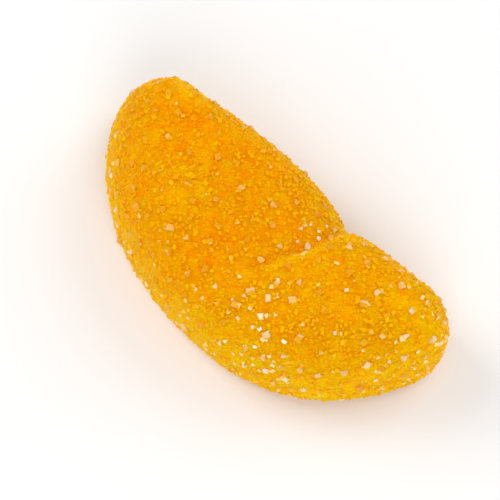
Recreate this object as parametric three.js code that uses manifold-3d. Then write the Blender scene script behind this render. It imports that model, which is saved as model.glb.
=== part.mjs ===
// Sugared jelly fruit slice, in millimetres, +Z up.
//
// A half-moon of fruit jelly lies on its flat underside. The round outer edge faces -Y and
// the inner edge faces +Y, with a shallow notch in it. From the notch a crease runs across
// the upper face and leaves the +X end as a lobe of its own. The slice is thickest under its
// outer rim. Its coarsest sugar crystals are fused to it, so that the whole is one solid.
//
// The surface is a grid over two parameters. u goes once round the edge as seen from above,
// one unit for each of its four stretches. v goes up from the flat underside: one unit for
// the rounded bottom edge, one for the side and shoulder, and one for the face, which ends
// on the spine, a curve from end to end under the middle of the face.

import * as THREE from "three";
import { mergeVertices } from "three/addons/utils/BufferGeometryUtils.js";
import Module from "manifold-3d";

// Plan of the slice, measured from the centre of its round outer edge. The two ends stand
// out past that circle, and each is rounded by a radius of its own.
const OUTER_RADIUS = 21.8;
const INNER_EDGE_Y = -2.3;
const END_REACH = { minus: 0.6, plus: 2.6 };
const END_RADIUS = { minus: 4.4, plus: 5.1 };
const LOBE_BULGE = 1.4; // how far the inner edge bows out between the ends
const NOTCH_X = 7.1;
const NOTCH_DEPTH = 1.2;
const NOTCH_WIDTH = 1.5;

// The spine, where the face's grid lines end.
const SPINE_SHARE = 0.76; // how much of the way out to the centre of an end's rounding
const SPINE_MIDDLE_Y = -11.6;
const SPINE_NOTCH_SHARE = 0.25; // how much of the notch's depth the spine follows

// Thickness of the slice.
const RIM_HEIGHT = 13.2;
const INNER_HEIGHT = 9.6;
const WEDGE_REACH = 19.0; // from the middle of the inner edge to where the full height is
const END_DROP = 1.6; // how much lower the two ends are than the middle of the rim
const FACE_CROWN = 0.5;

// Roundings of the side, from the underside up.
const BASE_EDGE = 1.1;
const OUTER_SHOULDER = 7.4;
const INNER_SHOULDER = 5.2;
const SHOULDER_SHARE = 0.92; // most of the way to the spine that a shoulder may take
const SHOULDER_POWER = 2.5; // 2 is an ellipse, and more is squarer

// The crease that starts at the notch and bends towards the -X end.
const CREASE_DIRECTION = new THREE.Vector2(0.22, -0.98).normalize();
const CREASE_BEND = 0.04; // sideways bow, in millimetres for each square millimetre
const CREASE_DEPTH = 1.7;
const CREASE_FULL = 6.0; // how far along it keeps its full depth
const CREASE_LENGTH = 15.0;
const CREASE_SHARPNESS = 0.6; // half the width of the step across it
const CREASE_REACH = 4.5; // over how far the face climbs back on the -X side
const LOBE_RISE = 0.6;

// The unevenness of soft jelly. Each wave is given by how much its phase grows for each
// millimetre along x, y and z, and by its phase at the origin.
const SWAY = 0.32;
const SWAY_X_WAVE = [0, 0.27, 0.16, 0.9];
const SWAY_Y_WAVE = [0.22, 0, 0.13, 2.4];
const SWELL = 0.022; // as a share of the height
const SWELL_WAVE = [0.31, 0.17, 0, 0.6];
const CROSS_WAVE = [0.24, -0.46, 0, 2.1];
const CROSS_SHARE = 0.6; // the cross wave's share of the swell

// Sugar crystals.
const CRYSTALS = 200;
const CRYSTAL_SIZE = 0.62; // mean length of a crystal's edge
const CRYSTAL_SPREAD = 0.3; // how much the size varies, as a share
const CRYSTAL_PROPORTIONS = new THREE.Vector3(1.15, 0.95, 0.8);
const CRYSTAL_SINK = 0.12; // how far its centre lies under the surface
const CRYSTAL_SPACING = 1.9; // least distance between the centres of two
const CRYSTAL_CLEARANCE = 1.3; // least height of a centre over the underside
const CRYSTAL_TOP_V = 2.99; // how far up v crystals lie: all but to the spine
const SEED = 20731;

// The random draws: each state is the one before times the factor, modulo the modulus.
const DRAW_FACTOR = 48271;
const DRAW_MODULUS = 2 ** 31 - 1;

// Step of u and v over which slopes of the surface are taken.
const SLOPE_STEP = 1e-3;

// Fineness of the grid.
const ARC_STEPS = 48; // along the outer edge, and as many along the inner edge
const TIP_STEPS = 10;
const BASE_RINGS = 2;
const SIDE_RINGS = 12;
const FACE_RINGS = 8;
const CREASE_STATION = 0.645; // how far along the outer edge the grid lines of the crease start
const CROWDING = 0.4; // how much closer together grid lines are there, as a share

const { clamp, lerp, smoothstep } = THREE.MathUtils;

// One end of the slice: the circle that rounds it touches the outer edge and the inner edge.
function endOf(side, reach, radius) {
  const y = INNER_EDGE_Y - radius;
  const x = side * Math.sqrt((OUTER_RADIUS + reach - radius) ** 2 - y ** 2);
  return { reach, radius, centre: new THREE.Vector2(x, y), angle: Math.atan2(y, x) };
}

const minusEnd = endOf(-1, END_REACH.minus, END_RADIUS.minus);
const plusEnd = endOf(1, END_REACH.plus, END_RADIUS.plus);

function onCircle(radius, angle) {
  return new THREE.Vector2(Math.cos(angle), Math.sin(angle)).multiplyScalar(radius);
}

function notchDepth(x) {
  return NOTCH_DEPTH / Math.cosh((x - NOTCH_X) / NOTCH_WIDTH);
}

// How far along the slice a line from the outer edge at this angle is: 0 at the -X end, 1 at
// the +X end.
function shareAt(angle) {
  const start = Math.cos(minusEnd.angle);
  return (Math.cos(angle) - start) / (Math.cos(plusEnd.angle) - start);
}

function outerPoint(angle) {
  const lowest = -Math.PI / 2;
  const end = angle < lowest ? minusEnd : plusEnd;
  const standsOut = smoothstep((angle - lowest) / (end.angle - lowest), 0, 1);
  return onCircle(OUTER_RADIUS + end.reach * standsOut, angle);
}

function innerPoint(share) {
  const x = lerp(minusEnd.centre.x, plusEnd.centre.x, share);
  return new THREE.Vector2(x, INNER_EDGE_Y + LOBE_BULGE * (4 * share * (1 - share)) ** 2);
}

function spinePoint(share) {
  const x = SPINE_SHARE * lerp(minusEnd.centre.x, plusEnd.centre.x, share);
  const endY = lerp(minusEnd.centre.y, plusEnd.centre.y, share);
  const y = lerp(SPINE_MIDDLE_Y, endY, (2 * share - 1) ** 2);
  return new THREE.Vector2(x, y - SPINE_NOTCH_SHARE * notchDepth(x));
}

// The edge at u: its point in plan, and the point of the spine that its grid line runs to.
// The four stretches are the outer edge, the +X end, the inner edge and the -X end.
function edgeAt(u) {
  const stretch = Math.min(Math.floor(u), 3);
  const t = u - stretch;
  let edge;
  let share;
  if (stretch === 0) {
    const angle = lerp(minusEnd.angle, plusEnd.angle, t);
    share = shareAt(angle);
    edge = outerPoint(angle);
  } else if (stretch === 2) {
    share = shareAt(lerp(plusEnd.angle, minusEnd.angle, t));
    edge = innerPoint(share);
  } else {
    const end = stretch === 1 ? plusEnd : minusEnd;
    const outer = stretch === 1 ? end.angle : end.angle + 2 * Math.PI;
    share = stretch === 1 ? 1 : 0;
    const angle = stretch === 1 ? lerp(outer, Math.PI / 2, t) : lerp(Math.PI / 2, outer, t);
    edge = onCircle(end.radius, angle).add(end.centre);
  }
  const innerShare = smoothstep(edge.y, INNER_EDGE_Y - END_RADIUS.plus, INNER_EDGE_Y);
  edge.y -= notchDepth(edge.x) * innerShare;
  return { edge, spine: spinePoint(share) };
}

// How far the face lies below its plain height because of the crease.
function creaseDepth(x, y) {
  const fromNotch = new THREE.Vector2(x - NOTCH_X, y - INNER_EDGE_Y);
  const along = fromNotch.dot(CREASE_DIRECTION);
  const across = CREASE_DIRECTION.cross(fromNotch) * -1 - CREASE_BEND * along * along;
  const fade = 1 - smoothstep(along, CREASE_FULL, CREASE_LENGTH);
  const past = (1 + Math.tanh(across / CREASE_SHARPNESS)) / 2;
  const sunk = CREASE_DEPTH * past * Math.exp(-Math.max(across, 0) / CREASE_REACH);
  const risen = LOBE_RISE * (1 - past) * Math.exp(Math.min(across, 0) / CREASE_REACH);
  return fade * (sunk - risen);
}

// Height of the plain face over a point in plan.
function faceHeight(x, y) {
  const away = Math.hypot(x - NOTCH_X / 2, y - INNER_EDGE_Y);
  const wedge = 1 - (1 - Math.min(away / WEDGE_REACH, 1)) ** 2;
  const ends = END_DROP * (x / OUTER_RADIUS) ** 2;
  return lerp(INNER_HEIGHT, RIM_HEIGHT, wedge) - ends - creaseDepth(x, y);
}

function waveAt([perX, perY, perZ, start], { x, y, z }) {
  return Math.sin(perX * x + perY * y + perZ * z + start);
}

// Waves that no two slices share. The underside stays flat, because z only swells.
function uneven(point) {
  const swell = waveAt(SWELL_WAVE, point) + CROSS_SHARE * waveAt(CROSS_WAVE, point);
  return new THREE.Vector3(
    point.x + SWAY * waveAt(SWAY_X_WAVE, point),
    point.y + SWAY * waveAt(SWAY_Y_WAVE, point),
    point.z * (1 + SWELL * swell),
  );
}

// The point of the surface at u round the edge and v up from the underside.
function surfacePoint(u, v) {
  const { edge, spine } = edgeAt(u);
  const inward = spine.clone().sub(edge);
  const reach = inward.length();
  inward.normalize();
  const facing = (1 - inward.y) / 2;
  const wanted = lerp(OUTER_SHOULDER, INNER_SHOULDER, facing);
  const shoulder = Math.min(wanted, SHOULDER_SHARE * reach);
  let inset;
  let rise = 0;
  let lift = 0;
  if (v <= 1) {
    const angle = (v * Math.PI) / 2;
    inset = BASE_EDGE * (1 - Math.sin(angle));
    lift = BASE_EDGE * (1 - Math.cos(angle));
  } else if (v <= 2) {
    const angle = ((v - 1) * Math.PI) / 2;
    inset = shoulder * (1 - Math.cos(angle) ** (2 / SHOULDER_POWER));
    rise = Math.sin(angle) ** (2 / SHOULDER_POWER);
    lift = BASE_EDGE;
  } else {
    inset = lerp(shoulder, reach, v - 2);
    rise = 1;
    lift = BASE_EDGE;
  }
  const place = inward.multiplyScalar(inset).add(edge);
  const crown = FACE_CROWN * smoothstep(inset, 0, reach);
  const height = faceHeight(place.x, place.y) + crown;
  return uneven(new THREE.Vector3(place.x, place.y, lerp(lift, height, rise)));
}

// How far along the outer edge grid line i starts. They are closer together at the crease.
function arcShare(i) {
  const wave = (t) => Math.sin(2 * Math.PI * (t - CREASE_STATION));
  const t = i / ARC_STEPS;
  return t - (CROWDING / (2 * Math.PI)) * (wave(t) - wave(0));
}

// The closed body of the slice, before any sugar.
function sliceGeometry() {
  const steps = (count) => Array.from({ length: count }, (_, i) => i);
  const stations = [
    ...steps(ARC_STEPS).map((i) => arcShare(i)),
    ...steps(TIP_STEPS).map((i) => 1 + i / TIP_STEPS),
    ...steps(ARC_STEPS).map((i) => 3 - arcShare(ARC_STEPS - i)),
    ...steps(TIP_STEPS).map((i) => 3 + i / TIP_STEPS),
  ];
  const rings = [
    ...steps(BASE_RINGS).map((i) => i / BASE_RINGS),
    ...steps(SIDE_RINGS).map((i) => 1 + i / SIDE_RINGS),
    ...steps(FACE_RINGS).map((i) => 2 + i / FACE_RINGS),
  ];
  const round = stations.length;
  const positions = [];
  const triangles = [];
  const addPoint = (point) => positions.push(point.x, point.y, point.z);
  rings.forEach((v) => stations.forEach((u) => addPoint(surfacePoint(u, v))));

  // The spine is shared by the grid lines of both edges.
  const spineStart = rings.length * round;
  for (let i = 0; i <= ARC_STEPS; i++) {
    addPoint(surfacePoint(arcShare(i), 3));
  }
  const spineIndex = (j) => {
    const fromEnd = ARC_STEPS + TIP_STEPS + ARC_STEPS - j;
    return spineStart + clamp(Math.min(j, fromEnd), 0, ARC_STEPS);
  };
  const addFace = (a, b, c) => {
    if (a !== b && b !== c && c !== a) {
      triangles.push(a, b, c);
    }
  };
  for (let j = 0; j < round; j++) {
    const next = (j + 1) % round;
    for (let k = 0; k + 1 < rings.length; k++) {
      const low = k * round;
      const high = low + round;
      addFace(low + j, low + next, high + next);
      addFace(low + j, high + next, high + j);
    }
    const last = (rings.length - 1) * round;
    addFace(last + j, last + next, spineIndex(next));
    addFace(last + j, spineIndex(next), spineIndex(j));
  }

  // The underside: strips from the outer edge to the inner edge, and a fan in each tip.
  const across = (i) => 2 * ARC_STEPS + TIP_STEPS - i;
  for (let i = 0; i < ARC_STEPS; i++) {
    addFace(i, across(i) % round, across(i + 1));
    addFace(i, across(i + 1), i + 1);
  }
  for (let i = 0; i < TIP_STEPS; i++) {
    addFace(ARC_STEPS, ARC_STEPS + i + 1, ARC_STEPS + i);
    addFace(0, (across(0) + i + 1) % round, across(0) + i);
  }
  const geometry = new THREE.BufferGeometry();
  geometry.setAttribute("position", new THREE.Float32BufferAttribute(positions, 3));
  geometry.setIndex(triangles);
  return geometry;
}

// The same draws on every run, from 0 up to 1.
function seededRandom(seed) {
  let state = seed;
  return () => {
    state = (state * DRAW_FACTOR) % DRAW_MODULUS;
    return state / DRAW_MODULUS;
  };
}

// Where crystals sit: spread evenly over the area of the side and the face.
function crystalPlaces() {
  const random = seededRandom(SEED);
  const largestCell = OUTER_RADIUS * Math.PI * RIM_HEIGHT;
  const places = [];
  while (places.length < CRYSTALS) {
    const u = 4 * random();
    const v = lerp(1, CRYSTAL_TOP_V, random());
    const chance = random();
    const point = surfacePoint(u, v);
    const alongU = surfacePoint(u + SLOPE_STEP, v).sub(point).divideScalar(SLOPE_STEP);
    const alongV = surfacePoint(u, v + SLOPE_STEP).sub(point).divideScalar(SLOPE_STEP);
    const normal = alongU.cross(alongV);
    const cell = normal.length();
    normal.normalize();
    const apart = places.every((other) => other.point.distanceTo(point) > CRYSTAL_SPACING);
    if (point.z > CRYSTAL_CLEARANCE && chance < cell / largestCell && apart) {
      places.push({ point, normal });
    }
  }
  return places;
}

// One crystal is a block, turned at random and half sunk in the jelly.
function crystalGeometry(place, random) {
  const size = CRYSTAL_SIZE * (1 + CRYSTAL_SPREAD * (2 * random() - 1));
  const sides = CRYSTAL_PROPORTIONS.clone().multiplyScalar(size);
  const block = new THREE.BoxGeometry(sides.x, sides.y, sides.z);
  const turn = new THREE.Euler(...[0, 0, 0].map(() => Math.PI * random()));
  const centre = place.normal.clone().multiplyScalar(-CRYSTAL_SINK).add(place.point);
  const matrix = new THREE.Matrix4().makeRotationFromEuler(turn).setPosition(centre);
  return block.applyMatrix4(matrix);
}

const wasm = await Module();
wasm.setup();

function solidOf(geometry) {
  geometry.deleteAttribute("normal");
  geometry.deleteAttribute("uv");
  const merged = mergeVertices(geometry);
  return new wasm.Manifold(
    new wasm.Mesh({
      numProp: 3,
      vertProperties: merged.attributes.position.array,
      triVerts: new Uint32Array(merged.index.array),
    }),
  );
}

function geometryOf(solid) {
  const mesh = solid.getMesh();
  const geometry = new THREE.BufferGeometry();
  geometry.setAttribute("position", new THREE.BufferAttribute(mesh.vertProperties, 3));
  geometry.setIndex(new THREE.BufferAttribute(mesh.triVerts, 1));
  return geometry;
}

let solid = solidOf(sliceGeometry());
const turns = seededRandom(SEED + 1);
crystalPlaces().forEach((place) => {
  solid = solid.add(solidOf(crystalGeometry(place, turns)));
});

const sliceShape = geometryOf(solid);
sliceShape.computeBoundingBox();
const middle = sliceShape.boundingBox.getCenter(new THREE.Vector3());
sliceShape.translate(-middle.x, -middle.y, -sliceShape.boundingBox.min.z);

const jelly = new THREE.MeshStandardMaterial({ color: 0xf09a08, roughness: 0.45, metalness: 0 });
const slice = new THREE.Mesh(sliceShape, jelly);
slice.name = "jelly_slice";

const part = new THREE.Group();
part.add(slice);

export default part;
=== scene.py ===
"""Sugared jelly fruit slice: its looks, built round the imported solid.

The jelly follows the same surface as the solid, on a much finer mesh whose skin is raised into
the facets of half-melted fine sugar. Three kinds of sugar crystals lie on it as joined meshes.
The coarse ones are the solid's own crystals, at the same places. Shapes are worked out in
millimetres in the frame of the slice's plan, and meshes are made in metres in the part's frame.
"""

import math

import bpy
import numpy as np
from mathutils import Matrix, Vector
from mathutils.kdtree import KDTree


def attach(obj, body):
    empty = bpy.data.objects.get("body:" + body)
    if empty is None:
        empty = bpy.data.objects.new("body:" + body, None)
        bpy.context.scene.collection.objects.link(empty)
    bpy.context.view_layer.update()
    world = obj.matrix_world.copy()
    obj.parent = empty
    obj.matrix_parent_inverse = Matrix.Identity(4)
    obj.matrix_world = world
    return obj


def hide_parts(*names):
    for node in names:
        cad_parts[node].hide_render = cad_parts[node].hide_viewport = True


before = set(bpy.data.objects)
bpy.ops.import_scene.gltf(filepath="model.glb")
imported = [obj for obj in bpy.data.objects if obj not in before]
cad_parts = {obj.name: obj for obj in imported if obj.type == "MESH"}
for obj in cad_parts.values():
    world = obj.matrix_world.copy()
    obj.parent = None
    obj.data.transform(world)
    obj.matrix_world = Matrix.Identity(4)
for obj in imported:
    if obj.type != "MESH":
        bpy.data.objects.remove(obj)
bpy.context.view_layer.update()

MM = 0.001
NODE = "jelly_slice"

# Plan of the slice, measured from the centre of its round outer edge.
OUTER_RADIUS = 21.8
INNER_EDGE_Y = -2.3
LOBE_BULGE = 1.4
NOTCH_X = 7.1
NOTCH_DEPTH = 1.2
NOTCH_WIDTH = 1.5

# The spine, where the face's grid lines end.
SPINE_SHARE = 0.76
SPINE_MIDDLE_Y = -11.6
SPINE_NOTCH_SHARE = 0.25

# Thickness of the slice.
RIM_HEIGHT = 13.2
INNER_HEIGHT = 9.6
WEDGE_REACH = 19.0
END_DROP = 1.6
FACE_CROWN = 0.5

# Roundings of the side, from the underside up.
BASE_EDGE = 1.1
OUTER_SHOULDER = 7.4
INNER_SHOULDER = 5.2
SHOULDER_SHARE = 0.92
SHOULDER_POWER = 2.5

# The crease that starts at the notch and bends towards the -X end.
CREASE_DIRECTION = np.array([0.22, -0.98]) / math.hypot(0.22, 0.98)
CREASE_BEND = 0.04
CREASE_DEPTH = 1.7
CREASE_FULL = 6.0
CREASE_LENGTH = 15.0
CREASE_SHARPNESS = 0.6
CREASE_REACH = 4.5
LOBE_RISE = 0.6

# The unevenness of soft jelly. Each wave is given by how much its phase grows for each
# millimetre along x, y and z, and by its phase at the origin.
SWAY = 0.32
SWAY_X_WAVE = (0.0, 0.27, 0.16, 0.9)
SWAY_Y_WAVE = (0.22, 0.0, 0.13, 2.4)
SWELL = 0.022
SWELL_WAVE = (0.31, 0.17, 0.0, 0.6)
CROSS_WAVE = (0.24, -0.46, 0.0, 2.1)
CROSS_SHARE = 0.6

# The solid's own crystals, which are the coarse sugar.
CRYSTALS = 200
CRYSTAL_SIZE = 0.62
CRYSTAL_SPREAD = 0.3
CRYSTAL_PROPORTIONS = np.array([1.15, 0.95, 0.8])
CRYSTAL_SINK = 0.12
CRYSTAL_SPACING = 1.9
CRYSTAL_CLEARANCE = 1.3
CRYSTAL_TOP_V = 2.99
CRYSTAL_BATCH = 2000
SEED = 20731
DRAW_FACTOR = 48271
DRAW_MODULUS = 2**31 - 1

# Step of u and v over which slopes of the surface are taken, and the smallest area that a
# normal is divided by.
SLOPE_STEP = 1e-3
SMALLEST_AREA = 1e-9

# Points taken round the solid's flat underside, and how high a point of it lies at most.
UNDERSIDE_POINTS = 4000
UNDERSIDE_HEIGHT = 1e-3

# The jelly stands on its lowest sugar, so it is lifted a little near the underside.
SUGAR_LIFT = 0.2
LIFT_HEIGHT = 8.0


# ---------------------------------------------------------------------------------------
# The surface of the slice
# ---------------------------------------------------------------------------------------


def lerp(low, high, share):
    return low + (high - low) * share


def smoothstep(x, low, high):
    t = np.clip((x - low) / (high - low), 0, 1)
    return t * t * (3 - 2 * t)


class End:
    """One end of the slice: the circle that rounds it touches the outer and the inner edge."""

    def __init__(self, side, reach, radius):
        self.reach = reach
        self.radius = radius
        y = INNER_EDGE_Y - radius
        x = side * math.sqrt((OUTER_RADIUS + reach - radius) ** 2 - y**2)
        self.centre = np.array([x, y])
        self.angle = math.atan2(y, x)


MINUS_END = End(-1, reach=0.6, radius=4.4)
PLUS_END = End(1, reach=2.6, radius=5.1)


def on_circle(radius, angle):
    return np.stack([radius * np.cos(angle), radius * np.sin(angle)], -1)


def notch_depth(x):
    return NOTCH_DEPTH / np.cosh((x - NOTCH_X) / NOTCH_WIDTH)


def share_at(angle):
    """How far along the slice a line from the outer edge is: 0 at the -X end, 1 at the +X end."""
    start = math.cos(MINUS_END.angle)
    return (np.cos(angle) - start) / (math.cos(PLUS_END.angle) - start)


def outer_point(angle):
    lowest = -math.pi / 2
    before = angle < lowest
    end_angle = np.where(before, MINUS_END.angle, PLUS_END.angle)
    reach = np.where(before, MINUS_END.reach, PLUS_END.reach)
    stands_out = smoothstep((angle - lowest) / (end_angle - lowest), 0, 1)
    return on_circle(OUTER_RADIUS + reach * stands_out, angle)


def inner_point(share):
    x = lerp(MINUS_END.centre[0], PLUS_END.centre[0], share)
    return np.stack([x, INNER_EDGE_Y + LOBE_BULGE * (4 * share * (1 - share)) ** 2], -1)


def spine_point(share):
    x = SPINE_SHARE * lerp(MINUS_END.centre[0], PLUS_END.centre[0], share)
    end_y = lerp(MINUS_END.centre[1], PLUS_END.centre[1], share)
    y = lerp(SPINE_MIDDLE_Y, end_y, (2 * share - 1) ** 2)
    return np.stack([x, y - SPINE_NOTCH_SHARE * notch_depth(x)], -1)


def edge_at(u):
    """The edge at u, and the point of the spine that its grid line runs to.

    The four stretches of u are the outer edge, the +X end, the inner edge and the -X end."""
    stretch = np.minimum(np.floor(u), 3)
    t = u - stretch
    top = math.pi / 2
    angle = np.select(
        [stretch == 0, stretch == 1, stretch == 2],
        [
            lerp(MINUS_END.angle, PLUS_END.angle, t),
            lerp(PLUS_END.angle, top, t),
            lerp(PLUS_END.angle, MINUS_END.angle, t),
        ],
        lerp(top, MINUS_END.angle + 2 * math.pi, t),
    )
    share = np.select([stretch == 1, stretch == 3], [1.0, 0.0], share_at(angle))
    kind = stretch[..., None]
    edge = np.select(
        [kind == 0, kind == 1, kind == 2],
        [
            outer_point(angle),
            PLUS_END.centre + on_circle(PLUS_END.radius, angle),
            inner_point(share),
        ],
        MINUS_END.centre + on_circle(MINUS_END.radius, angle),
    )
    inner_share = smoothstep(edge[..., 1], INNER_EDGE_Y - PLUS_END.radius, INNER_EDGE_Y)
    edge[..., 1] -= notch_depth(edge[..., 0]) * inner_share
    return edge, spine_point(share)


def crease_at(x, y):
    """How far a point is from the crease, less than 0 on the lobe, and the crease's strength."""
    from_x, from_y = x - NOTCH_X, y - INNER_EDGE_Y
    along = from_x * CREASE_DIRECTION[0] + from_y * CREASE_DIRECTION[1]
    across = CREASE_DIRECTION[1] * from_x - CREASE_DIRECTION[0] * from_y
    across -= CREASE_BEND * along**2
    return across, 1 - smoothstep(along, CREASE_FULL, CREASE_LENGTH)


def crease_depth(x, y):
    """How far the face lies below its plain height because of the crease."""
    across, fade = crease_at(x, y)
    past = (1 + np.tanh(across / CREASE_SHARPNESS)) / 2
    sunk = CREASE_DEPTH * past * np.exp(-np.maximum(across, 0) / CREASE_REACH)
    risen = LOBE_RISE * (1 - past) * np.exp(np.minimum(across, 0) / CREASE_REACH)
    return fade * (sunk - risen)


def face_height(x, y):
    away = np.hypot(x - NOTCH_X / 2, y - INNER_EDGE_Y)
    wedge = 1 - (1 - np.minimum(away / WEDGE_REACH, 1)) ** 2
    ends = END_DROP * (x / OUTER_RADIUS) ** 2
    return lerp(INNER_HEIGHT, RIM_HEIGHT, wedge) - ends - crease_depth(x, y)


def wave(numbers, x, y, z):
    per_x, per_y, per_z, start = numbers
    return np.sin(per_x * x + per_y * y + per_z * z + start)


def uneven(x, y, z):
    """Waves that no two slices share. The underside stays flat, because z only swells."""
    swell = wave(SWELL_WAVE, x, y, z) + CROSS_SHARE * wave(CROSS_WAVE, x, y, z)
    sway_x = SWAY * wave(SWAY_X_WAVE, x, y, z)
    sway_y = SWAY * wave(SWAY_Y_WAVE, x, y, z)
    return np.stack([x + sway_x, y + sway_y, z * (1 + SWELL * swell)], -1)


def surface(u, v):
    """Points of the jelly at u round the edge and v from the middle of the underside up.

    v runs from -1 to 0 over the underside, to 1 round the bottom edge, to 2 up the side and
    over the shoulder, and to 3 over the face to the spine."""
    u, v = np.broadcast_arrays(np.asarray(u, float), np.asarray(v, float))
    edge, spine = edge_at(u)
    inward = spine - edge
    reach = np.linalg.norm(inward, axis=-1)
    inward = inward / reach[..., None]
    facing = (1 - inward[..., 1]) / 2
    wanted = lerp(OUTER_SHOULDER, INNER_SHOULDER, facing)
    shoulder = np.minimum(wanted, SHOULDER_SHARE * reach)
    base_angle = np.clip(v, 0, 1) * math.pi / 2
    side_angle = np.clip(v - 1, 0, 1) * math.pi / 2
    power = 2 / SHOULDER_POWER
    inset = np.select(
        [v <= 0, v <= 1, v <= 2],
        [
            lerp(BASE_EDGE, reach, -v),
            BASE_EDGE * (1 - np.sin(base_angle)),
            shoulder * (1 - np.clip(np.cos(side_angle), 0, 1) ** power),
        ],
        lerp(shoulder, reach, v - 2),
    )
    lift = BASE_EDGE * (1 - np.cos(base_angle))
    rise = np.where(v <= 2, np.sin(side_angle) ** power, 1.0)
    place = edge + inward * inset[..., None]
    x, y = place[..., 0], place[..., 1]
    crown = FACE_CROWN * smoothstep(inset, 0, reach)
    return uneven(x, y, lerp(lift, face_height(x, y) + crown, rise))


def plan_offset():
    """How far the part's frame lies from the plan's.

    The flat underside is the same in both, so the solid's underside says it."""
    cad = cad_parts[NODE].data
    points = read_vectors(cad.vertices, "co") / MM
    under = points[points[:, 2] < UNDERSIDE_HEIGHT]
    plain = surface(np.linspace(0, 4, UNDERSIDE_POINTS, endpoint=False), 0.0)
    middle = (under.min(0) + under.max(0)) / 2 - (plain.min(0) + plain.max(0)) / 2
    return np.array([middle[0], middle[1], 0.0])


def stood_on_sugar(points):
    raised = points.copy()
    raised[..., 2] += SUGAR_LIFT * np.clip(1 - points[..., 2] / LIFT_HEIGHT, 0, 1)
    return raised


def jelly_point(u, v):
    """A point of the visible jelly, in millimetres in the frame of the part."""
    return stood_on_sugar(surface(u, v)) + OFFSET


def with_normals(u, v, point_at):
    """Points, outward normals, and the area that one unit of u by one of v covers there."""
    here = point_at(u, v)
    along_u = (point_at(u + SLOPE_STEP, v) - here) / SLOPE_STEP
    along_v = (point_at(u, v + SLOPE_STEP) - here) / SLOPE_STEP
    across = np.cross(along_u, along_v)
    area = np.linalg.norm(across, axis=-1)
    return here, across / np.maximum(area, SMALLEST_AREA)[..., None], area


# ---------------------------------------------------------------------------------------
# Mesh helpers
# ---------------------------------------------------------------------------------------


def read_vectors(collection, name):
    values = np.zeros(len(collection) * 3)
    collection.foreach_get(name, values)
    return values.reshape(-1, 3)


def object_of(mesh):
    made = bpy.data.objects.new(mesh.name, mesh)
    bpy.context.scene.collection.objects.link(made)
    return made


def object_from(name, vertices, faces):
    mesh = bpy.data.meshes.new(name)
    mesh.from_pydata((vertices * MM).tolist(), [], faces)
    mesh.validate()
    return object_of(mesh)


def finish_mesh(made, material):
    """Flat facets, as sugar has, and one material."""
    mesh = made.data
    mesh.polygons.foreach_set("use_smooth", [False] * len(mesh.polygons))
    mesh.materials.clear()
    mesh.materials.append(material)
    mesh.update()


def set_attribute(made, name, domain, values):
    made.data.attributes.new(name, "FLOAT", domain).data.foreach_set("value", values)


def tree_of(points):
    tree = KDTree(len(points))
    for i, point in enumerate(points.tolist()):
        tree.insert(point, i)
    tree.balance()
    return tree


# ---------------------------------------------------------------------------------------
# Where the jelly is pale, with painted light and shade, and the sugar is white
# ---------------------------------------------------------------------------------------

# The jelly is palest low on its sides, partly its paler sugared wall and partly painted light
# as if shining through the thin jelly there; then along the lobe's edge at the crease, partly
# a painted highlight on that lit edge and partly its sugar-lined edge; and after that at the
# lobe's end. Painted shade makes it deeper in colour in the hollow of the crease.
PALEST_HEIGHT = 4.6
PALE_HEIGHT = 9.4
RIDGE_PLACE = 0.7
RIDGE_WIDTH = 0.5
RIDGE_HIGHLIGHT_SHARE = 0.8
CREASE_SHADE_SHARE = 0.5
LOBE_SHARE = 0.55

# The sugar is whitest in patches, each given by its middle in plan and its reach, then at the
# round rim, and after that at the lobe's end.
SUGAR_PATCHES = ((np.array([8.8, -16.8]), 5.0), (np.array([5.0, -7.5]), 3.0))
RIM_WIDTH = 1.4
RIM_WHITENESS = 0.6
LOBE_WHITENESS = 0.45
FACE_WHITENESS = 0.25


def rim_nearness(points):
    """1 at the round outer edge as seen from above, down to 0 at RIM_WIDTH inwards."""
    from_centre = np.hypot(*(points - OFFSET)[:, :2].T)
    return smoothstep(from_centre, OUTER_RADIUS - RIM_WIDTH, OUTER_RADIUS)


def lobe_nearness(points):
    """0 at the end without the lobe, up to 1 at the lobe's end."""
    return smoothstep((points - OFFSET)[:, 0], -OUTER_RADIUS, OUTER_RADIUS)


def paleness_and_painted_light(points):
    """Painted paleness and shade: 1 low on the jelly's sides, least on the crease's sunk side."""
    across, strength = crease_at(*(points - OFFSET)[:, :2].T)
    # The ridge: partly a painted highlight on the lobe's lit edge, partly its sugar-lined edge.
    ridge_highlight = strength * np.exp(-(((across + RIDGE_PLACE) / RIDGE_WIDTH) ** 2))
    # Painted shade on the sunk side of the crease.
    hollow_shade = strength * (across > 0) * np.exp(-np.maximum(across, 0) / CREASE_REACH)
    # Low on the sides: partly painted light through the thin jelly, partly its paler sugared
    # wall.
    low = 1 - smoothstep(points[:, 2], PALEST_HEIGHT, PALE_HEIGHT)
    face = lerp(LOBE_SHARE * lobe_nearness(points), 1, RIDGE_HIGHLIGHT_SHARE * ridge_highlight)
    return lerp(face - CREASE_SHADE_SHARE * hollow_shade, 1, low)


def whiteness(points):
    """How white the sugar is, from 0 to 1."""
    plan = (points - OFFSET)[:, :2]
    shares = [
        np.exp(-((np.linalg.norm(plan - middle, axis=1) / reach) ** 2))
        for middle, reach in SUGAR_PATCHES
    ]
    shares.append(RIM_WHITENESS * rim_nearness(points))
    shares.append(lerp(FACE_WHITENESS, LOBE_WHITENESS, lobe_nearness(points)))
    return np.max(shares, axis=0)


# ---------------------------------------------------------------------------------------
# The jelly
# ---------------------------------------------------------------------------------------

# Fineness of the plain jelly's grid, and the side of the squares that it is remeshed into.
ARC_STEPS = 150
TIP_STEPS = 36
UNDER_RINGS = 16
BASE_RINGS = 6
SIDE_RINGS = 34
FACE_RINGS = 26
SKIN_SQUARE = 0.19

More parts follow.
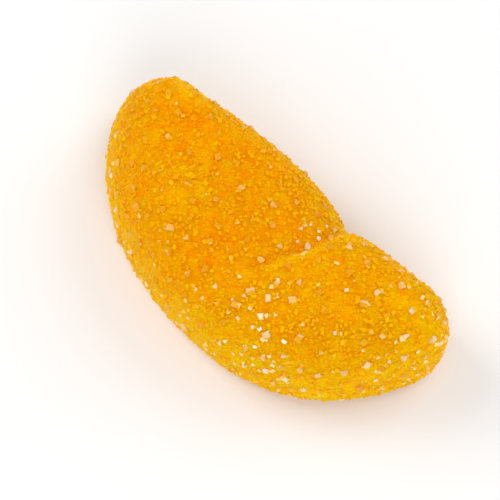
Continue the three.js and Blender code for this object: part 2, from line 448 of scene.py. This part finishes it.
# Fine sugar that half melts into the skin: each grain is a facet of its own height and tilt.
# The lowest grain, the highest point of a tilted one, and how far the skin is set in so that
# the slice keeps its size, are given as shares of the grains' height.
GRAIN_COUNT = 26000
GRAIN_CELL = 0.36
GRAIN_HEIGHT = 0.09
LOWEST_GRAIN = 0.35
HIGHEST_POINT = 2.0
SKIN_SINK = 0.4
GRAIN_TILT = 0.3
GRAIN_GAP = 0.09


def plain_jelly():
    """The jelly without sugar, as one closed grid: rings of v round it, closed on the spine."""
    steps = [ARC_STEPS, TIP_STEPS, ARC_STEPS, TIP_STEPS]
    u = np.concatenate([i + np.arange(n) / n for i, n in enumerate(steps)])
    rings = [UNDER_RINGS, BASE_RINGS, SIDE_RINGS, FACE_RINGS]
    v = np.concatenate([i - 1 + np.arange(n) / n for i, n in enumerate(rings)])[1:]
    around = len(u)
    grid = jelly_point(u[None, :], v[:, None])
    spine_u = np.arange(ARC_STEPS + 1) / ARC_STEPS
    spines = [jelly_point(spine_u, -1.0), jelly_point(spine_u, 3.0)]
    vertices = np.concatenate([grid.reshape(-1, 3), *spines])
    low_start = len(v) * around
    high_start = low_start + ARC_STEPS + 1
    j = np.arange(around)
    after = (j + 1) % around
    faces = []
    for ring in range(len(v) - 1):
        low, high = ring * around, (ring + 1) * around
        faces += np.stack([low + j, low + after, high + after, high + j], 1).tolist()
    from_end = 2 * ARC_STEPS + TIP_STEPS - j
    on_spine = np.clip(np.minimum(j, from_end), 0, ARC_STEPS)
    top = (len(v) - 1) * around
    for a, b in zip(j.tolist(), after.tolist()):
        for ring, start, flip in ((0, low_start, True), (top, high_start, False)):
            corners = [ring + a, ring + b, start + on_spine[b], start + on_spine[a]]
            if on_spine[a] == on_spine[b]:
                corners = corners[:3]
            faces.append([int(c) for c in (corners[::-1] if flip else corners)])
    return object_from("plain_jelly", vertices, faces)


def evenly_meshed(plain, name):
    """The same form in squares of one size, so that grains come out alike everywhere."""
    remesh = plain.modifiers.new("even", "REMESH")
    remesh.mode = "VOXEL"
    remesh.voxel_size = SKIN_SQUARE * MM
    graph = bpy.context.evaluated_depsgraph_get()
    mesh = bpy.data.meshes.new_from_object(plain.evaluated_get(graph))
    mesh.name = name
    bpy.data.objects.remove(plain)
    return object_of(mesh)


def grain_relief(points, random):
    """How far the grain nearest to each point raises it, and a shade that a grain shares."""
    seeds, _ = scatter(random, GRAIN_COUNT, GRAIN_CELL)
    tree = tree_of(seeds)
    found = [tree.find_n(point, 2) for point in points.tolist()]
    nearest = np.array([first[1] for first, _ in found])
    gap = np.array([second[2] - first[2] for first, second in found])
    tilt = GRAIN_TILT * random.normal(size=(len(seeds), 3))
    top = GRAIN_HEIGHT * lerp(LOWEST_GRAIN, 1, random.random(len(seeds)))
    slope = ((points - seeds[nearest]) * tilt[nearest]).sum(1)
    height = np.clip(top[nearest] + slope, 0, HIGHEST_POINT * GRAIN_HEIGHT)
    return height * smoothstep(gap, 0, GRAIN_GAP), random.random(len(seeds))[nearest]


def jelly_piece(random, material):
    made = evenly_meshed(plain_jelly(), "jelly")
    mesh = made.data
    points = read_vectors(mesh.vertices, "co") / MM
    normals = read_vectors(mesh.vertex_normals, "vector")
    height, grain = grain_relief(points, random)
    points += normals * (height - SKIN_SINK * GRAIN_HEIGHT)[:, None]
    points[:, 2] = np.maximum(points[:, 2], 0)
    mesh.vertices.foreach_set("co", (points * MM).ravel())
    finish_mesh(made, material)
    set_attribute(made, "grain", "POINT", grain)
    # Paleness with painted light on the low sides and the crease's edge, painted shade in its
    # hollow.
    set_attribute(made, "pale", "POINT", paleness_and_painted_light(points))
    return made


# ---------------------------------------------------------------------------------------
# The sugar
# ---------------------------------------------------------------------------------------

# Scattering: trials made for each grain, the highest v that they reach, and the percentile of
# the area at which a trial is sure to be kept.
TRIALS_PER_GRAIN = 12
SCATTER_TOP_V = 2.995
SURE_PERCENTILE = 99

# Loose crystals: how far their corners stray, and the shortest and longest side against the
# crystal's size.
CORNER_STRAY = 0.18
SIDE_SHARES = (0.72, 1.28)

# Coarse crystals: the least and most that is cut off at a corner, against the side.
CORNER_CUT = (0.1, 0.45)

# How much of a crystal's colour differs from facet to facet, as painted glints and painted
# shade, and how much its place says.
FACET_GLINT_SHARE = 0.6
PLACE_SHARE = 0.55

# How close together medium crystals would lie where the sugar isn't white at all.
SPARSEST = 0.35


def random_turns(random, count):
    """Rotation matrices, evenly random."""
    q = random.normal(size=(count, 4))
    q /= np.linalg.norm(q, axis=1)[:, None]
    w, x, y, z = q.T
    rows = [
        [1 - 2 * (y * y + z * z), 2 * (x * y - z * w), 2 * (x * z + y * w)],
        [2 * (x * y + z * w), 1 - 2 * (x * x + z * z), 2 * (y * z - x * w)],
        [2 * (x * z - y * w), 2 * (y * z + x * w), 1 - 2 * (x * x + y * y)],
    ]
    return np.array(rows).transpose(2, 0, 1)


def evenly(points):
    return 1.0


def scatter(random, count, cell, density=evenly):
    """Places for grains, spread over the whole surface with at most one in each cell.

    density says for points, from 0 to 1, how close together the grains lie there."""
    trials = TRIALS_PER_GRAIN * count
    u = 4 * random.random(trials)
    v = lerp(-1, SCATTER_TOP_V, random.random(trials))
    points, normals, area = with_normals(u, v, jelly_point)
    sure_area = np.percentile(area, SURE_PERCENTILE)
    keep = random.random(trials) < density(points) * area / sure_area
    points, normals = points[keep], normals[keep]
    keys = np.floor(points / cell).astype(np.int64)
    _, first = np.unique(keys, axis=0, return_index=True)
    first = np.sort(first)[:count]
    return points[first], normals[first]


def block():
    """Corners and faces of a block of side 1."""
    corners = np.array([[x, y, z] for x in (-1, 1) for y in (-1, 1) for z in (-1, 1)]) / 2
    faces = [[0, 1, 3, 2], [4, 6, 7, 5], [0, 4, 5, 1], [2, 3, 7, 6], [0, 2, 6, 4], [1, 5, 7, 3]]
    return corners, faces


def cut_blocks(random, count):
    """Blocks of side 1 whose corners are cut off unevenly: their corners, and their faces."""
    corners, quads = block()
    index = {(i, axis): 3 * i + axis for i in range(len(corners)) for axis in range(3)}
    cuts = lerp(*CORNER_CUT, random.random((count, 3 * len(corners), 1)))
    moved = np.tile(np.eye(3), (len(corners), 1))
    cut = np.repeat(corners, 3, axis=0)[None] * (1 - 2 * cuts * moved)
    faces = []
    for quad in quads:
        face = []
        for place, i in enumerate(quad):
            for other in (quad[place - 1], quad[(place + 1) % 4]):
                axis = int(np.argmax(np.abs(corners[i] - corners[other])))
                face.append(index[i, axis])
        faces.append(face)
    for i, corner in enumerate(corners):
        face = [index[i, axis] for axis in range(3)]
        faces.append(face if corner.prod() > 0 else face[::-1])
    return cut, faces


def joined_crystals(name, vertices, faces, material):
    """Crystals given by their corners, as one mesh. None reaches below the floor."""
    count, size = vertices.shape[:2]
    low = vertices[..., 2].min(axis=1)
    vertices[..., 2] += np.maximum(-low, 0)[:, None]
    every = [[corner + size * i for corner in face] for i in range(count) for face in faces]
    made = object_from(name, vertices.reshape(-1, 3), every)
    finish_mesh(made, material)
    return made


def tint_and_glint_facets(made, centres, random):
    """Gives each facet a value of its own: painted glints and painted shade, as clear crystals
    shine and go dark by facets.

    The value also grows with how white the sugar is where the crystal lies."""
    count = len(centres)
    facets = len(made.data.polygons) // count
    whole = np.repeat(random.random(count), facets)
    # The facet-to-facet part is painted glints and painted shade.
    own = lerp(whole, random.random(count * facets), FACET_GLINT_SHARE)
    by_place = np.repeat(whiteness(centres), facets)
    set_attribute(made, "tint_and_glint", "FACE", lerp(own, by_place, PLACE_SHARE))


def loose_crystals(name, material, random, count, cell, size_range, sink, density=evenly):
    """Blocks of uneven corners and proportions, turned at random and a little sunk in."""
    points, normals = scatter(random, count, cell, density)
    count = len(points)
    sizes = lerp(*size_range, random.random(count))
    corners, faces = block()
    ragged = 1 + CORNER_STRAY * (2 * random.random((count, *corners.shape)) - 1)
    sides = sizes[:, None] * lerp(*SIDE_SHARES, random.random((count, 3)))
    shape = corners[None] * ragged * sides[:, None, :]
    turned = np.einsum("nij,nkj->nki", random_turns(random, count), shape)
    centres = points - normals * (sink * sizes)[:, None]
    made = joined_crystals(name, turned + centres[:, None, :], faces, material)
    tint_and_glint_facets(made, centres, random)
    return made


def medium_density(points):
    return lerp(SPARSEST, 1, whiteness(points))


def seeded_random(seed):
    """The same draws as the solid's, from 0 up to 1."""
    state = seed
    while True:
        state = state * DRAW_FACTOR % DRAW_MODULUS
        yield state / DRAW_MODULUS


def solid_crystal_places():
    """Where the solid's crystals sit: spread evenly over the area of the side and the face."""
    draws = seeded_random(SEED)
    largest_cell = OUTER_RADIUS * math.pi * RIM_HEIGHT
    kept = []
    while len(kept) < CRYSTALS:
        trial = np.array([[next(draws) for _ in range(3)] for _ in range(CRYSTAL_BATCH)])
        u, v = 4 * trial[:, 0], lerp(1, CRYSTAL_TOP_V, trial[:, 1])
        points, normals, cell = with_normals(u, v, surface)
        fits = (points[:, 2] > CRYSTAL_CLEARANCE) & (trial[:, 2] < cell / largest_cell)
        for i in np.flatnonzero(fits):
            apart = all(math.dist(points[i], other) > CRYSTAL_SPACING for other, _ in kept)
            if apart and len(kept) < CRYSTALS:
                kept.append((points[i], normals[i]))
    return (np.array(part) for part in zip(*kept))


def turned_about(axis, angles):
    """Matrices that turn by these angles about the X, Y or Z axis, which is 0, 1 or 2."""
    made = np.zeros((len(angles), 3, 3))
    a, b = (axis + 1) % 3, (axis + 2) % 3
    made[:, axis, axis] = 1
    made[:, a, a] = made[:, b, b] = np.cos(angles)
    made[:, b, a] = np.sin(angles)
    made[:, a, b] = -np.sin(angles)
    return made


def coarse_crystals(name, material, random):
    """The solid's crystals, with its sizes, places and turns, and with their corners cut."""
    points, normals = solid_crystal_places()
    draws = seeded_random(SEED + 1)
    trial = np.array([[next(draws) for _ in range(4)] for _ in range(CRYSTALS)])
    sizes = CRYSTAL_SIZE * (1 + CRYSTAL_SPREAD * (2 * trial[:, 0] - 1))
    turn_x, turn_y, turn_z = (turned_about(k, math.pi * trial[:, k + 1]) for k in range(3))
    corners, faces = cut_blocks(random, CRYSTALS)
    shape = corners * (sizes[:, None] * CRYSTAL_PROPORTIONS)[:, None, :]
    turned = np.einsum("nij,nkj->nki", turn_x @ turn_y @ turn_z, shape)
    centres = stood_on_sugar(points - CRYSTAL_SINK * normals) + OFFSET
    made = joined_crystals(name, turned + centres[:, None, :], faces, material)
    tint_and_glint_facets(made, centres, random)
    return made


# ---------------------------------------------------------------------------------------
# Materials
# ---------------------------------------------------------------------------------------


class Tree:
    """A material's node tree, with short ways to add and join nodes."""

    def __init__(self, name):
        self.material = bpy.data.materials.new(name)
        self.material.use_nodes = True
        self.nodes = self.material.node_tree.nodes
        self.links = self.material.node_tree.links
        self.shader = self.nodes["Principled BSDF"]

    def add(self, kind, **inputs):
        node = self.nodes.new(kind)
        for key, value in inputs.items():
            node.inputs[key].default_value = value
        return node

    def join(self, output, target):
        self.links.new(output, target)

    def place(self):
        return self.add("ShaderNodeTexCoord").outputs["Object"]

    def attribute(self, name):
        node = self.add("ShaderNodeAttribute")
        node.attribute_name = name
        return node.outputs["Fac"]

    def noise(self, size_mm, detail):
        node = self.add("ShaderNodeTexNoise", Scale=1 / (size_mm * MM), Detail=detail)
        self.join(self.place(), node.inputs["Vector"])
        return node.outputs["Fac"]

    def ramp(self, value, stops):
        node = self.add("ShaderNodeValToRGB")
        elements = node.color_ramp.elements
        while len(elements) < len(stops):
            elements.new(0.5)
        for element, (position, colour) in zip(elements, stops):
            element.position = position
            element.color = (*colour, 1)
        self.join(value, node.inputs["Fac"])
        return node.outputs["Color"]

    def multiply_add(self, value, factor, added):
        node = self.add("ShaderNodeMath")
        node.operation = "MULTIPLY_ADD"
        self.join(value, node.inputs[0])
        node.inputs[1].default_value = factor
        self.join(added, node.inputs[2])
        return node.outputs["Value"]

    def multiply_colours(self, first, second):
        node = self.add("ShaderNodeMixRGB", Fac=1.0)
        node.blend_type = "MULTIPLY"
        self.join(first, node.inputs["Color1"])
        self.join(second, node.inputs["Color2"])
        return node.outputs["Color"]

    def vector_math(self, operation, first, second, output="Vector"):
        node = self.add("ShaderNodeVectorMath")
        node.operation = operation
        self.join(first, node.inputs[0])
        if isinstance(second, tuple):
            node.inputs[1].default_value = second
        else:
            self.join(second, node.inputs[1])
        return node.outputs[output]

    def facets(self, size_mm):
        """A height that is a plane of its own slope in every cell of a Voronoi pattern."""
        scale = 1 / (size_mm * MM)
        cells = self.add("ShaderNodeTexVoronoi", Scale=scale)
        place = self.place()
        self.join(place, cells.inputs["Vector"])
        scaled = self.vector_math("MULTIPLY", place, (scale, scale, scale))
        inside = self.vector_math("SUBTRACT", scaled, cells.outputs["Position"])
        middle = (0.5, 0.5, 0.5)
        slope = self.vector_math("SUBTRACT", cells.outputs["Color"], middle)
        return self.vector_math("DOT_PRODUCT", inside, slope, output="Value")

    def bump(self, height, distance_mm, strength):
        node = self.add("ShaderNodeBump", Distance=distance_mm * MM, Strength=strength)
        self.join(height, node.inputs["Height"])
        self.join(node.outputs["Normal"], self.shader.inputs["Normal"])

    def colour(self, output):
        self.join(output, self.shader.inputs["Base Color"])

    def set(self, **values):
        for key, value in values.items():
            self.shader.inputs[key.replace("_", " ")].default_value = value


def linear(red, green, blue):
    """A colour given as 8-bit screen values, in the linear values that nodes take."""

    def one(value):
        share = value / 255
        return share / 12.92 if share <= 0.04045 else ((share + 0.055) / 1.055) ** 2.4

    return (one(red), one(green), one(blue))


# The colours of jelly and sugar, from the deepest to the palest, and those of their sheen.
DEEP = linear(247, 162, 0)
AMBER = linear(248, 165, 0)
GOLD = linear(249, 184, 0)
PLAIN = linear(250, 188, 0)
HONEY = linear(252, 194, 8)
LIGHT = linear(252, 198, 2)
CREAM = linear(255, 222, 138)
WHITE = linear(255, 246, 222)
GOLD_SHEEN = (1.0, 0.66, 0.06, 1.0)
WHITE_SHEEN = (1.0, 0.97, 0.92, 1.0)

# Where each colour of the jelly and of the three kinds of sugar stands on its ramp.
JELLY_STOPS = [(0.3, DEEP), (0.7, PLAIN), (0.95, LIGHT)]
# On all three kinds of sugar, the spread of colour across facets is partly painted glints and
# painted shade.
FINE_STOPS = [(0.15, AMBER), (0.5, GOLD), (1.0, HONEY)]
MEDIUM_STOPS = [(0.35, GOLD), (0.48, HONEY), (0.56, CREAM), (0.76, WHITE)]
COARSE_STOPS = [(0.35, GOLD), (0.48, HONEY), (0.55, CREAM), (0.66, WHITE)]

# How much the paleness of a place, painted light and shade included, counts against the
# jelly's mottling.
PALE_AND_PAINTED_LIGHT_SHARE = 0.5

# By how much the grains of the skin differ in colour.
GRAIN_STOPS = [(0.0, (0.99, 0.74, 0.3)), (1.0, (1, 1, 1))]

# Sugar and skin lie in small clumps, and are deeper in colour between them.
CLUMP_SIZE = 1.3
CLUMP_STOPS = [(0.35, (1.0, 0.86, 0.6)), (0.65, (1, 1, 1))]


def clumps(tree):
    return tree.ramp(tree.noise(size_mm=CLUMP_SIZE, detail=1.0), CLUMP_STOPS)


def jelly_material():
    """Clear golden jelly under a skin of fine sugar, with painted light and shade in its colour.
    """
    tree = Tree("golden_jelly")
    mottling = tree.noise(size_mm=9.0, detail=3.0)
    # The pale attribute carries painted light and painted shade as well.
    shade = tree.multiply_add(tree.attribute("pale"), PALE_AND_PAINTED_LIGHT_SHARE, mottling)
    body = tree.ramp(shade, JELLY_STOPS)
    grain = tree.ramp(tree.attribute("grain"), GRAIN_STOPS)
    tree.colour(tree.multiply_colours(tree.multiply_colours(body, grain), clumps(tree)))
    tree.set(Roughness=0.42, IOR=1.45, Specular_IOR_Level=0.08, Specular_Tint=GOLD_SHEEN)
    tree.set(Subsurface_Weight=1.0, Subsurface_Scale=2.2 * MM)
    tree.set(Subsurface_Radius=(1.0, 0.5, 0.1))
    tree.bump(tree.facets(size_mm=0.32), distance_mm=1.0, strength=0.12)
    return tree.material


def sugar_material(name, stops, **settings):
    """Sugar whose facets differ in colour as an attribute says, painted glints and shade
    included.
    """
    tree = Tree(name)
    tree.colour(tree.multiply_colours(tree.ramp(tree.attribute("tint_and_glint"), stops), clumps(tree)))
    tree.set(IOR=1.54, **settings)
    tree.bump(tree.noise(size_mm=0.12, detail=2.0), distance_mm=0.02, strength=0.4)
    return tree.material


# ---------------------------------------------------------------------------------------
# The object
# ---------------------------------------------------------------------------------------

OFFSET = plan_offset()
random = np.random.default_rng(SEED)
jelly = jelly_piece(random, jelly_material())

fine_material = sugar_material(
    "fine_sugar",
    FINE_STOPS,
    Roughness=0.38,
    Specular_IOR_Level=0.08,
    Specular_Tint=GOLD_SHEEN,
)
medium_material = sugar_material(
    "medium_sugar",
    MEDIUM_STOPS,
    Roughness=0.25,
    Specular_IOR_Level=0.12,
    Specular_Tint=GOLD_SHEEN,
)
coarse_material = sugar_material(
    "coarse_sugar",
    COARSE_STOPS,
    Roughness=0.15,
    Transmission_Weight=0.25,
    Specular_IOR_Level=0.25,
    Specular_Tint=WHITE_SHEEN,
)
fine = loose_crystals(
    "fine_sugar",
    fine_material,
    random,
    count=4500,
    cell=0.42,
    size_range=(0.3, 0.42),
    sink=0.36,
)
medium = loose_crystals(
    "medium_sugar",
    medium_material,
    random,
    count=700,
    cell=0.7,
    size_range=(0.3, 0.46),
    sink=0.2,
    density=medium_density,
)
coarse = coarse_crystals("coarse_sugar", coarse_material, random)

for piece, slot in ((jelly, "jelly"), (fine, "sugar"), (medium, "sugar"), (coarse, "sugar")):
    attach(piece, "root")
    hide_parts(NODE)


# ---------------------------------------------------------------------------------------
# The stage, the lights and the camera
# ---------------------------------------------------------------------------------------

FLOOR_REACH = 1.5
FLOOR_STOPS = [(0.35, (0.88, 0.877, 0.87)), (0.7, (0.91, 0.907, 0.9))]
CAMERA_AZIMUTH = 43
CAMERA_ELEVATION = 68
CAMERA_LENS = 180
CAMERA_DISTANCE = 0.262
CAMERA_TARGET = np.array([0.0, 0.0, 0.0055])


def pale_floor():
    tree = Tree("pale_floor")
    tree.colour(tree.ramp(tree.noise(size_mm=60.0, detail=2.0), FLOOR_STOPS))
    tree.set(Roughness=0.6)
    corners = np.array([[-1, -1, 0], [1, -1, 0], [1, 1, 0], [-1, 1, 0]]) * FLOOR_REACH / MM
    made = object_from("floor", corners, [[0, 1, 2, 3]])
    made.data.materials.append(tree.material)


def direction(azimuth, elevation):
    a, e = math.radians(azimuth), math.radians(elevation)
    return np.array([math.sin(a) * math.cos(e), -math.cos(a) * math.cos(e), math.sin(e)])


def aim(made, place, target):
    made.location = place.tolist()
    made.rotation_mode = "QUATERNION"
    made.rotation_quaternion = Vector((target - place).tolist()).to_track_quat("-Z", "Y")


def soft_box(name, azimuth, elevation, distance, size, power):
    light = bpy.data.lights.new(name, "AREA")
    light.size = size
    light.energy = power
    made = bpy.data.objects.new(name, light)
    bpy.context.scene.collection.objects.link(made)
    aim(made, direction(azimuth, elevation) * distance, np.zeros(3))


def studio_world(strength):
    world = bpy.data.worlds.new("studio")
    world.use_nodes = True
    background = world.node_tree.nodes["Background"]
    background.inputs["Color"].default_value = (1, 1, 1, 1)
    background.inputs["Strength"].default_value = strength
    bpy.context.scene.world = world


def camera():
    data = bpy.data.cameras.new("camera")
    data.lens = CAMERA_LENS
    data.clip_start = 0.01
    made = bpy.data.objects.new("camera", data)
    bpy.context.scene.collection.objects.link(made)
    away = direction(CAMERA_AZIMUTH, CAMERA_ELEVATION) * CAMERA_DISTANCE
    aim(made, CAMERA_TARGET + away, CAMERA_TARGET)
    bpy.context.scene.camera = made


pale_floor()
soft_box("key", azimuth=-80, elevation=42, distance=0.6, size=0.3, power=1.34)
soft_box("front", azimuth=50, elevation=36, distance=0.7, size=0.5, power=2.12)
soft_box("back", azimuth=165, elevation=42, distance=0.6, size=0.4, power=1.05)
studio_world(strength=0.52)
camera()
bpy.context.scene.view_settings.view_transform = "Standard"
